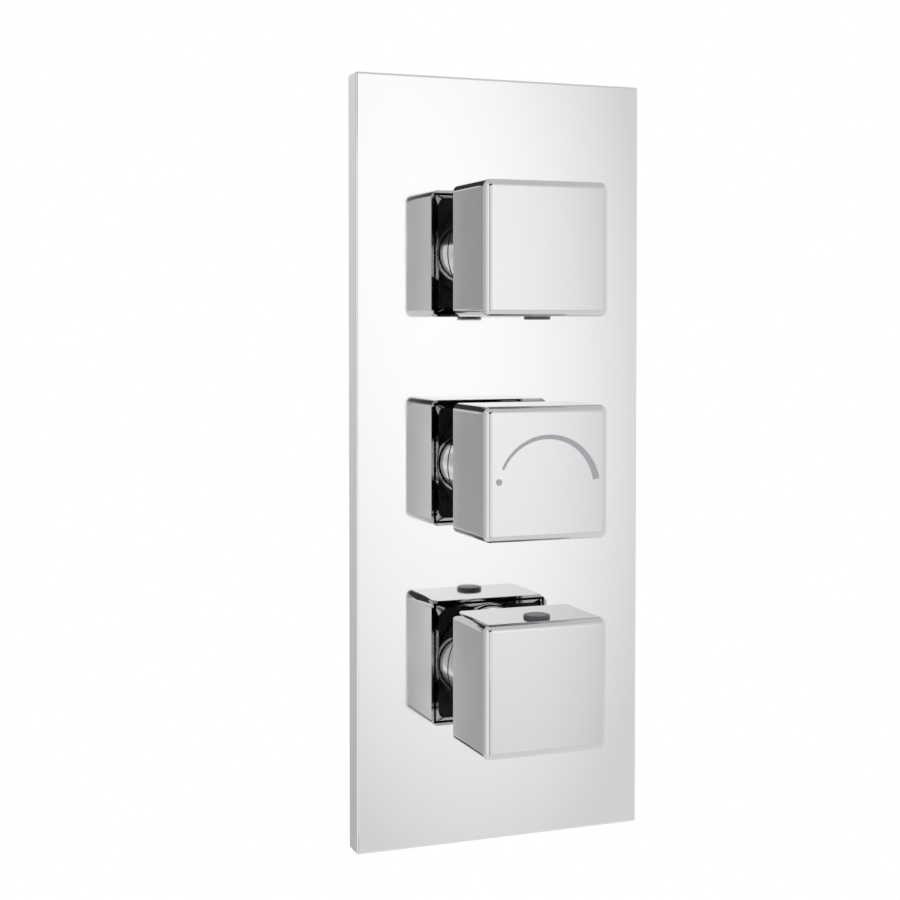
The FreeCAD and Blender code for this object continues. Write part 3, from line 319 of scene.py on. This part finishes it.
# %% From a bmesh to an object
def object_from(bm, name, finish):
    """Puts a bmesh into the scene as an object with one material."""
    mesh = bpy.data.meshes.new(name)
    bm.to_mesh(mesh)
    bm.free()
    shape = bpy.data.objects.new(name, mesh)
    bpy.context.scene.collection.objects.link(shape)
    dress(shape, finish)
    return shape


def piece_from(bm, name, body, node, finish):
    """Makes a piece of the valve, which rides on a body and may stand for a CAD piece."""
    bmesh.ops.recalc_face_normals(bm, faces=bm.faces)
    for face in bm.faces:
        face.smooth = True
    shape = object_from(bm, name, finish)
    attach(shape, body)
    if node:
        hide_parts(node)
    print(name, "has", len(shape.data.polygons), "faces")
    return shape

# %% Which edges are round and which are crisp
# The angles are in radians. No edge turns by half a turn, so with that angle only open edges stay
# crisp.
round_from, crisp_from, half_turn = 1.0, math.radians(25), math.radians(180)


def mark_round(bm):
    """Marks the edges between two faces that turn by more than a radian, for the Bevel modifier."""
    weight = bm.edges.layers.float.new("bevel_weight_edge")
    for edge in bm.edges:
        turns = edge.is_manifold and edge.calc_face_angle() > round_from
        edge[weight] = 1.0 if turns else 0.0


def mark_crisp(bm, angle):
    """Edges that turn by more than this angle stay crisp, and so do open ones."""
    for edge in bm.edges:
        edge.smooth = edge.is_manifold and edge.calc_face_angle() < angle

# %% Finishing touches that stay live, as modifiers
edge_steps = 8


def flatten(shape):
    """The largest face at each corner decides how it is shaded."""
    shape.modifiers.new("flat_faces_stay_flat", "WEIGHTED_NORMAL").keep_sharp = True


def give_wall(shape, thickness):
    """Turns an open skin into sheet or casting of this thickness, inwards."""
    wall = shape.modifiers.new("wall", "SOLIDIFY")
    wall.thickness = thickness
    wall.offset = -1
    wall.use_even_offset = True


def round_marked_edges(shape, radius):
    """Rounds the edges that mark_round marked, and keeps the flat faces flat."""
    rounding = shape.modifiers.new("rounded_edges", "BEVEL")
    rounding.limit_method = "WEIGHT"
    rounding.width = radius
    rounding.segments = edge_steps
    rounding.harden_normals = True
    rounding.use_clamp_overlap = False

# %% A smooth copy of a CAD piece
# Points closer than the first length are one point, and an edge shorter than the second is none.
same_point, no_length = 0.002 * mm, 0.001 * mm


def smooth_copy(node, name, body):
    """A copy of a CAD piece, merged into one skin, whose round surfaces are shaded round."""
    bm = bmesh.new()
    bm.from_mesh(nodes[node].data)
    bmesh.ops.remove_doubles(bm, verts=bm.verts, dist=same_point)
    bmesh.ops.dissolve_degenerate(bm, edges=bm.edges, dist=no_length)
    mark_crisp(bm, crisp_from)
    flatten(piece_from(bm, name, body, node, finish_of[node]))

# %% [markdown]
# ## Faceplate
# The real plate is pressed from one sheet of brass: a flat front with three round holes, and edges
# that turn back to the wall. The script makes it in that order. It fills a rectangle with three
# circles in it, pulls the rim back, gives the sheet its thickness with Solidify, and rounds the
# bend. A box with holes cut by a Boolean would look the same, but its edge is harder to keep clean.

# %% Sizes read from the CAD pieces, and the sheet's own
plate_low, plate_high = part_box("face_plate")
collar_names = ("upper", "middle", "lower")
collar_boxes = [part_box(name + "_collar") for name in collar_names]
axis_heights = [(low.z + high.z) / 2 for low, high in collar_boxes]
collar_radius = (collar_boxes[0][1].x - collar_boxes[0][0].x) / 2
collar_gap = 0.2 * mm
hole_radius = collar_radius + collar_gap
sheet, sheet_bend = 1.5 * mm, 1.0 * mm
print("axes at", [round(1000 * z, 2) for z in axis_heights], "mm, collar radius",
      round(1000 * collar_radius, 2), "mm")

# %% Rectangles and circles as plain edges
facing = Matrix.Rotation(math.radians(90), 4, "X")


def rectangle(bm, matrix):
    """A square of one metre that the matrix sizes and places, as four edges without a face."""
    made = bmesh.ops.create_grid(bm, x_segments=1, y_segments=1, size=0.5)["verts"]
    bmesh.ops.transform(bm, matrix=matrix, verts=made)
    bmesh.ops.delete(bm, geom=list(made[0].link_faces), context="FACES_ONLY")
    return made


def circle(bm, radius, place, turn, steps=96):
    """The edges of a circle, without a face."""
    return bmesh.ops.create_circle(bm, cap_ends=False, segments=steps, radius=radius,
                                   matrix=Matrix.Translation(place) @ turn)["verts"]

# %% Press the plate
def faceplate():
    """The front with its three holes, and the rim that goes back to the wall."""
    bm = bmesh.new()
    size = plate_high - plate_low
    middle = (plate_low + plate_high) / 2
    front = Matrix.Translation((middle.x, plate_low.y, middle.z)) @ facing
    rim = rectangle(bm, front @ Matrix.Diagonal((size.x, size.z, 1, 1)))
    for z in axis_heights:
        circle(bm, hole_radius, (0, plate_low.y, z), facing)
    bmesh.ops.triangle_fill(bm, edges=bm.edges, use_beauty=True, normal=(0, -1, 0))
    rim_edges = [edge for edge in bm.edges
                 if edge.is_boundary and all(vert in rim for vert in edge.verts)]
    pulled = bmesh.ops.extrude_edge_only(bm, edges=rim_edges)["geom"]
    back = [item for item in pulled if isinstance(item, bmesh.types.BMVert)]
    bmesh.ops.translate(bm, vec=(0, size.y, 0), verts=back)
    mark_crisp(bm, half_turn)
    mark_round(bm)
    shape = piece_from(bm, "faceplate", "valve_body", "face_plate", plate_chrome)
    give_wall(shape, sheet)
    round_marked_edges(shape, sheet_bend)


faceplate()

# %% [markdown]
# ## Collars
# Behind each knob a short round collar hides the hole in the plate. It could be a cylinder with a
# hole, but a turned ring is really a small profile that goes once round its axis. So the script
# draws the wall's section, softens its corners and spins it.

# %% Turn the three collars
collar_wall, collar_corner = 1.5 * mm, 0.35 * mm


def collar(name, low, high):
    """A turned ring round the Y axis, which then goes up or down to its row."""
    bm = bmesh.new()
    middle = Matrix.Translation(((high.x - low.x) / 2 - collar_wall / 2, (low.y + high.y) / 2, 0))
    rectangle(bm, middle @ Matrix.Diagonal((collar_wall, high.y - low.y, 1, 1)))
    bmesh.ops.bevel(bm, geom=bm.verts[:], offset=collar_corner, segments=3, affect="VERTICES",
                    profile=0.5, material=-1)
    bmesh.ops.spin(bm, geom=bm.verts[:] + bm.edges[:], cent=(0, 0, 0), axis=(0, 1, 0),
                   angle=2 * math.pi, steps=128, use_merge=True, dvec=(0, 0, 0))
    bmesh.ops.translate(bm, vec=(0, 0, (low.z + high.z) / 2), verts=bm.verts)
    bmesh.ops.remove_doubles(bm, verts=bm.verts, dist=no_length)
    flatten(piece_from(bm, name + "_shroud", "valve_body", name + "_collar", collar_chrome_with_painted_light))


for name, (low, high) in zip(collar_names, collar_boxes):
    collar(name, low, high)

# %% [markdown]
# ## Knob shells
# Each knob is a cast cube that is hollow at the back. Polishing has rounded its edges to a radius
# of about 2.8 mm, and has left the front a little fuller in the middle than at its sides, which
# makes the light on it fall off to the right. Two of the knobs have a hole for a push button, one
# in the top face and one in the bottom face. A subdivided cube would have soft edges too, but all
# its faces would bulge, and a mirror shows that. The Bevel modifier leaves them as they are.

# %% Sizes of a knob, and of the hole for a button
knob_edge, knob_wall = 2.8 * mm, 3 * mm
front_rise, front_cuts, same_plane = 0.17 * mm, 9, 0.1 * mm
button_radius, button_flange, button_gap = 5.0 * mm, 1.0 * mm, 0.15 * mm


def button_hole(button, shell, end):
    """Where a button comes out of its knob: the middle of its cap, on the knob's face."""
    button_low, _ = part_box(button)
    shell_low, shell_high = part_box(shell)
    y = button_low.y + button_flange + button_radius
    return Vector((0, y, shell_high.z if end == "top" else shell_low.z))


upper_hole = button_hole("upper_button", "upper_knob_shell", "bottom")
temperature_hole = button_hole("temperature_button", "temperature_knob_shell", "top")
print("buttons come out at", [[round(1000 * v, 2) for v in hole]
                              for hole in (upper_hole, temperature_hole)], "mm")

# %% Tools for a knob's faces
def box_between(bm, low, high):
    """A closed box from one corner to the opposite one."""
    bmesh.ops.create_cube(bm, size=1, matrix=Matrix.Translation((low + high) / 2)
                          @ Matrix.Diagonal((*(high - low), 1)))


def refill_with_hole(bm, face, place, radius):
    """Opens a round hole in a flat face that looks up or down."""
    rim = list(face.edges)
    bmesh.ops.delete(bm, geom=[face], context="FACES_ONLY")
    ring = circle(bm, radius, place, Matrix.Identity(4), steps=64)
    # A dict drops the second mention of each edge and, unlike a set, keeps their order.
    ring_edges = list(dict.fromkeys(edge for vert in ring for edge in vert.link_edges))
    bmesh.ops.triangle_fill(bm, edges=rim + ring_edges, use_beauty=True)


def crown_front(bm, front_y, half_width):
    """Cuts the front into upright strips, and sets them back towards the sides."""
    def in_front(vert):
        return abs(vert.co.y - front_y) < same_plane

    across = [edge for edge in bm.edges if all(in_front(vert) for vert in edge.verts)
              and abs(edge.verts[0].co.x - edge.verts[1].co.x) > half_width]
    bmesh.ops.subdivide_edges(bm, edges=across, cuts=front_cuts, use_grid_fill=True)
    for vert in bm.verts:
        if in_front(vert):
            vert.co.y += front_rise * (vert.co.x / half_width) ** 2

# %% Cast the knobs
def knob(name, body, shell, hole=None):
    """A hollow cube, open at the back, with a fuller front and a hole if it has a button."""
    low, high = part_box(shell)
    bm = bmesh.new()
    box_between(bm, low, high)
    back = max(bm.faces, key=lambda face: face.calc_center_median().y)
    bmesh.ops.delete(bm, geom=[back], context="FACES_ONLY")
    crown_front(bm, low.y, high.x)
    if hole:
        flat = min(bm.faces, key=lambda face: (face.calc_center_median() - hole).length)
        refill_with_hole(bm, flat, hole, button_radius + button_gap)
    mark_crisp(bm, half_turn)
    mark_round(bm)
    shape = piece_from(bm, name, body, shell, knob_chrome_with_painted_shade)
    give_wall(shape, knob_wall)
    round_marked_edges(shape, knob_edge)


knob("upper_knob_cap", "upper_knob", "upper_knob_shell", upper_hole)
knob("middle_knob_cap", "middle_knob", "middle_knob_shell")
knob("temperature_knob_cap", "temperature_knob", "temperature_knob_shell", temperature_hole)

# %% [markdown]
# ## Buttons and black carriers
# The buttons and the carriers have the right shape already. Their CAD mesh is shaded flat, which
# shows as facets on a round cap, so a merged copy with smooth shading stands for each of them.

# %% Buttons, carriers and grub screws
for row in ("upper", "temperature"):
    smooth_copy(row + "_button", row + "_push_button", row + "_stop_button")
for row in ("upper", "middle", "temperature"):
    smooth_copy(row + "_knob_carrier", row + "_inner_carrier", row + "_knob")
    smooth_copy(row + "_grub_screw", row + "_set_screw", row + "_knob")

# %% [markdown]
# ## Scale on the middle knob
# The middle knob has an arc that grows from left to right, for more water, and a small dot where it
# starts. It is etched, so it is chrome without its shine. A painted picture would turn soft close
# by, so the scale is a shape: a short edge is spun round the scale's centre, widened step by step,
# and given a little depth, so that it fills the engraving.

# %% Sizes of the scale, as engraved in the knob
scale_radius, scale_drop = 20 * mm, 6.4 * mm
thin_end, thick_end = 0.9 * mm, 2.6 * mm
first_angle, last_angle, dot_angle = math.radians(155), math.radians(11), math.radians(169)
dot_radius = 1.2 * mm
inlay_depth, inlay_rise = 0.15 * mm, 0.01 * mm

knob_low, knob_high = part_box("middle_knob_shell")
scale_centre = Vector((0, knob_low.y, (knob_low.z + knob_high.z) / 2 - scale_drop))
print("the scale's centre in mm:", [round(1000 * v, 2) for v in scale_centre])

# %% Etch the scale
def on_scale(radius, angle):
    """A point on the knob's front, by its distance and direction from the scale's centre."""
    return scale_centre + Vector((radius * math.cos(angle), 0, radius * math.sin(angle)))


def scale_mark():
    """The tapered arc and its dot, as one thin inlay."""
    bm = bmesh.new()
    start = [bm.verts.new(on_scale(radius, first_angle))
             for radius in (scale_radius - thin_end / 2, scale_radius + thin_end / 2)]
    bm.edges.new(start)
    bmesh.ops.spin(bm, geom=bm.verts[:] + bm.edges[:], cent=scale_centre, axis=(0, 1, 0),
                   angle=first_angle - last_angle, steps=48, dvec=(0, 0, 0))
    for vert in bm.verts:
        arm = vert.co - scale_centre
        share = (first_angle - math.atan2(arm.z, arm.x)) / (first_angle - last_angle)
        half_width = (thin_end + (thick_end - thin_end) * share) / 2
        side = 1 if arm.length > scale_radius else -1
        vert.co = scale_centre + arm.normalized() * (scale_radius + side * half_width)
    dot = Matrix.Translation(on_scale(scale_radius, dot_angle)) @ facing
    bmesh.ops.create_circle(bm, cap_ends=True, segments=24, radius=dot_radius, matrix=dot)
    pushed = bmesh.ops.extrude_face_region(bm, geom=bm.faces[:])["geom"]
    bottom = [item for item in pushed if isinstance(item, bmesh.types.BMVert)]
    bmesh.ops.translate(bm, vec=(0, inlay_depth, 0), verts=bottom)
    bmesh.ops.translate(bm, vec=(0, -inlay_rise, 0), verts=bm.verts)
    mark_crisp(bm, math.radians(30))
    return piece_from(bm, "etched_scale", "middle_knob", None, etched_chrome)


scale = scale_mark()

# %% [markdown]
# ## Behind the plate
# The casting, its plug, the bracket, the seals and the strainers show only from the back and the
# sides. Their shapes are right already, but a CAD mesh is loose triangles that are shaded flat, so
# a merged copy with smooth shading stands for each of them.

# %% Smooth copies of what shows from behind
for node, name in (("valve_casting", "brass_body"), ("gallery_plug", "brass_plug"),
                   ("mounting_bracket", "steel_bracket"), ("bracket_screws", "steel_screws"),
                   ("plate_gasket", "foam_strip"), ("plate_hole_seals", "rubber_seals"),
                   ("inlet_strainers", "steel_strainers")):
    smooth_copy(node, name, "valve_body")

# %% [markdown]
# ## Studio
# Chrome shows its surroundings, so a photographer hangs large boards round it and lets each face
# show one of them. The plate and the knobs' fronts show a softbox in front on the right. The knobs'
# sides show, by way of the plate, a board in front on the left. A bright board joins the two, and
# dark flags over and under it draw the thin dark lines along the knobs' edges. A ready-made picture
# of a room would be quicker, but boards can be put just where a face needs them. The ground is pure
# white, which the world gives to the camera and to mirrors, at a strength of 1.

# %% World: white for the camera and for mirrors, softer as light
white = (1, 1, 1, 1)
white_ground, light_from_around = 1.0, 0.7


def seen_rays(tree):
    """1 where the camera looks, also by way of metal or glass, and 0 for light on its way."""
    ray = add_node(tree, "ShaderNodeLightPath").outputs
    seen = add_node(tree, "ShaderNodeMath", {0: ray["Is Camera Ray"], 1: ray["Is Glossy Ray"]},
                    operation="MAXIMUM")
    seen = add_node(tree, "ShaderNodeMath", {0: seen.outputs[0], 1: ray["Is Transmission Ray"]},
                    operation="MAXIMUM")
    return seen.outputs[0]


world = bpy.data.worlds.new("white_studio")
bpy.context.scene.world = world
world.use_nodes = True
tree = world.node_tree
tree.nodes.clear()
ground = add_node(tree, "ShaderNodeBackground", {"Color": white, "Strength": white_ground})
fill = add_node(tree, "ShaderNodeBackground", {"Color": white, "Strength": light_from_around})
both = add_node(tree, "ShaderNodeMixShader",
                {0: seen_rays(tree), 1: fill.outputs[0], 2: ground.outputs[0]})
add_node(tree, "ShaderNodeOutputWorld", {"Surface": both.outputs[0]})
print("world:", world.name)

# %% Where the boards hang
# The boards in front make one wall, from the studio's left to its right, just over the floor.
studio_left, corner_end, left_end, middle_end, studio_right = -1.5, -0.97, -0.35, 0.36, 1.5
board_foot, board_top = -1.09, 1.45
front_wall_y, back_wall_y = -1.9, 1.0
half_board = 1 * mm


def board(name, low, high, level):
    """A thin board that glows. Its level is a number, or a function of its own nodes."""
    bm = bmesh.new()
    box_between(bm, Vector(low), Vector(high))
    finish = bpy.data.materials.new(name)
    finish.use_nodes = True
    tree = finish.node_tree
    tree.nodes.clear()
    place = add_node(tree, "ShaderNodeTexCoord").outputs["Object"]
    strength = level(tree, place) if callable(level) else level
    glow = add_node(tree, "ShaderNodeEmission", {"Color": white, "Strength": strength})
    add_node(tree, "ShaderNodeOutputMaterial", {"Surface": glow.outputs[0]})
    shape = object_from(bm, name, finish)
    shape.visible_camera = False
    shape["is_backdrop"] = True


def front_board(name, left, right, foot, top, level, nearer=0.0):
    """A board in front of the valve. A flag hangs a little nearer to the valve than the rest."""
    y = front_wall_y + nearer
    board(name, (left, y - half_board, foot), (right, y + half_board, top), level)


def fade(tree, place, axis, first, last, low, high):
    """A level that goes from low to high between two places along an axis."""
    along = add_node(tree, "ShaderNodeSeparateXYZ", {"Vector": place}).outputs[axis]
    spread = add_node(tree, "ShaderNodeMapRange", {"Value": along, "From Min": first,
                                                   "From Max": last, "To Min": low, "To Max": high})
    return spread.outputs["Result"]

# %% The softbox in front on the right: an oval pool of light, brightest in its middle
pool_middle, pool_lean = (0.651, front_wall_y, 0.165), math.radians(-7.7)
pool_half_width, pool_half_height = 0.581, 1.501
pool_level, least_level = 1.41, 0.9


def softbox_level(tree, place):
    """Falls with the square of the way from the pool's middle, down to a least level."""
    pool = add_node(tree, "ShaderNodeMapping",
                    {"Vector": place, "Location": pool_middle, "Rotation": (0, pool_lean, 0),
                     "Scale": (pool_half_width, 1, pool_half_height)}, vector_type="TEXTURE")
    way = add_node(tree, "ShaderNodeVectorMath", {0: pool.outputs[0], 1: pool.outputs[0]},
                   operation="DOT_PRODUCT")
    level = add_node(tree, "ShaderNodeMath", {0: pool_level, 1: way.outputs["Value"]},
                     operation="SUBTRACT")
    level = add_node(tree, "ShaderNodeMath", {0: level.outputs[0], 1: least_level},
                     operation="MAXIMUM")
    return level.outputs[0]


front_board("front_right_softbox", middle_end, studio_right, board_foot, 0.75, softbox_level)

# %% The board in front on the left, with a brighter strip where its lamp shines
# Each pair is a place between the two ends of the fade, 0 on the left and 1 on the right, and the
# level there.
left_board_stops = [(0.0, 0.45), (0.22, 0.58), (0.26, 0.64), (0.32, 0.55), (0.345, 1.05),
                    (0.38, 1.10), (0.42, 0.84), (0.46, 0.70), (0.60, 0.95), (1.0, 1.15)]


def left_board_level(tree, place):
    """The levels across the board, which grow a little towards its foot."""
    across = fade(tree, place, "X", -0.95, left_end, 0.0, 1.0)
    ramp = add_node(tree, "ShaderNodeValToRGB", {"Fac": across})
    for position, level in left_board_stops[1:-1]:
        ramp.color_ramp.elements.new(position)
    for element, (position, level) in zip(ramp.color_ramp.elements, left_board_stops):
        element.position = position
        element.color = (level, level, level, 1)
    down = fade(tree, place, "Z", 0.16, -0.55, 1.05, 1.22)
    level = add_node(tree, "ShaderNodeMath", {0: ramp.outputs["Color"], 1: down},
                     operation="MULTIPLY")
    return level.outputs[0]


front_board("front_left_board", corner_end, left_end, board_foot, 0.55, left_board_level)

# %% What joins the two, and the board in the studio's left corner
def middle_level(tree, place):
    """Nearly even."""
    return fade(tree, place, "X", left_end, middle_end, 1.10, 1.13)


def corner_level(tree, place):
    """Bright in the corner, and as dim as the left board where it meets that one."""
    return fade(tree, place, "X", studio_left, corner_end, 1.30, 0.50)


front_board("front_corner_board", studio_left, corner_end, board_foot, 0.55, corner_level)
front_board("front_middle_board", left_end, middle_end, board_foot, 0.60, middle_level)

# %% Dark flags over and under the boards in front
front_board("upper_flag", -0.45, middle_end, 0.52, board_top, 0.06, nearer=10 * mm)
front_board("upper_left_flag", studio_left, -0.45, 0.36, board_top, 0.06, nearer=20 * mm)
front_board("lower_flag", -0.62, 0.0, board_foot, -0.74, 0.15, nearer=10 * mm)
front_board("lower_left_flag", -0.66, -0.44, -0.74, -0.50, 0.3, nearer=10 * mm)

# %% Greys round it: the left wall of the studio, the ceiling, and what is behind the wall
def left_level(tree, place):
    """Dim at the back, and bright towards the front."""
    return fade(tree, place, "Y", 0.9, -1.5, 0.5, 1.35)


def back_level(tree, place):
    """Dim near the floor, and brighter higher up."""
    return fade(tree, place, "Z", -0.45, 0.30, 0.58, 0.84)


board("left_wall_board", (studio_left - half_board, -2.1, board_foot),
      (studio_left + half_board, 0.9, board_top), left_level)
board("ceiling_board", (studio_left, -2.1, 1.5 - half_board), (studio_right, 2.0, 1.5 + half_board),
      0.8)
board("back_left_board", (studio_left + half_board, back_wall_y - half_board, board_foot),
      (-0.1, back_wall_y + half_board, 1.2), back_level)
print("the studio reaches from", studio_left, "to", studio_right, "m")

# %% Floor: pale paper that sends light back up, and pure white to the camera and to mirrors
floor_height, floor_half = -1.1, 2.5


def floor():
    """A large square under the valve."""
    bm = bmesh.new()
    bmesh.ops.create_grid(bm, x_segments=1, y_segments=1, size=floor_half,
                          matrix=Matrix.Translation((0, 0, floor_height)))
    finish, tree, shader, _ = new_finish("pale_paper_floor", "F2F2F1", 0.0, 0.9)
    glow = add_node(tree, "ShaderNodeEmission", {"Color": white, "Strength": white_ground})
    mix = add_node(tree, "ShaderNodeMixShader",
                   {0: seen_rays(tree), 1: shader.outputs[0], 2: glow.outputs[0]})
    tree.links.new(mix.outputs[0], tree.nodes["Material Output"].inputs["Surface"])
    object_from(bm, "pale_floor", finish)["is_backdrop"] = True


floor()

# %% Lamp: it lights the plastics and the rubber, and mirrors don't show it
lamp_data = bpy.data.lights.new("key_softbox", "AREA")
lamp_data.shape = "RECTANGLE"
lamp_data.size, lamp_data.size_y = 0.8, 1.2
lamp_data.energy = 12
lamp = bpy.data.objects.new("key_softbox", lamp_data)
lamp.visible_glossy = False
lamp.location = (-0.5, -1.1, 1.4)
to_valve = Vector((0, 0, 0)) - lamp.location
lamp.rotation_euler = to_valve.to_track_quat("-Z", "Y").to_euler()
bpy.context.scene.collection.objects.link(lamp)
print("lamp of", lamp_data.energy, "W")

# %% [markdown]
# ## Camera
# The photograph was taken from the left, from about the height of the top knob's underside, and
# its upright edges are parallel. That takes a camera that hardly tips down, with its lens shifted
# down instead.

# %% Camera
tip_down, turn_right = math.radians(1.72), 0.365
camera_data = bpy.data.cameras.new("camera")
camera_data.sensor_width = 36
camera_data.lens = 64.68
camera_data.shift_y = -0.0867
camera = bpy.data.objects.new("camera", camera_data)
camera.location = (-0.2463, -0.5968, 0.0544)
camera.rotation_euler = (math.radians(90) - tip_down, 0, -turn_right)
bpy.context.scene.collection.objects.link(camera)
bpy.context.scene.camera = camera
bpy.context.scene.view_settings.view_transform = "Standard"
print("camera", round(-camera.location.y, 3), "m in front of the wall")

# %% [markdown]
# ## Size of the dressed valve
# The dressed valve must be no larger than the CAD model. The last line prints the box round the
# dressed valve, without the studio, in millimetres.

# %% Sizes, and the end
low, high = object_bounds()
print("visual box in mm:", [round(1000 * v, 2) for v in low], [round(1000 * v, 2) for v in high])
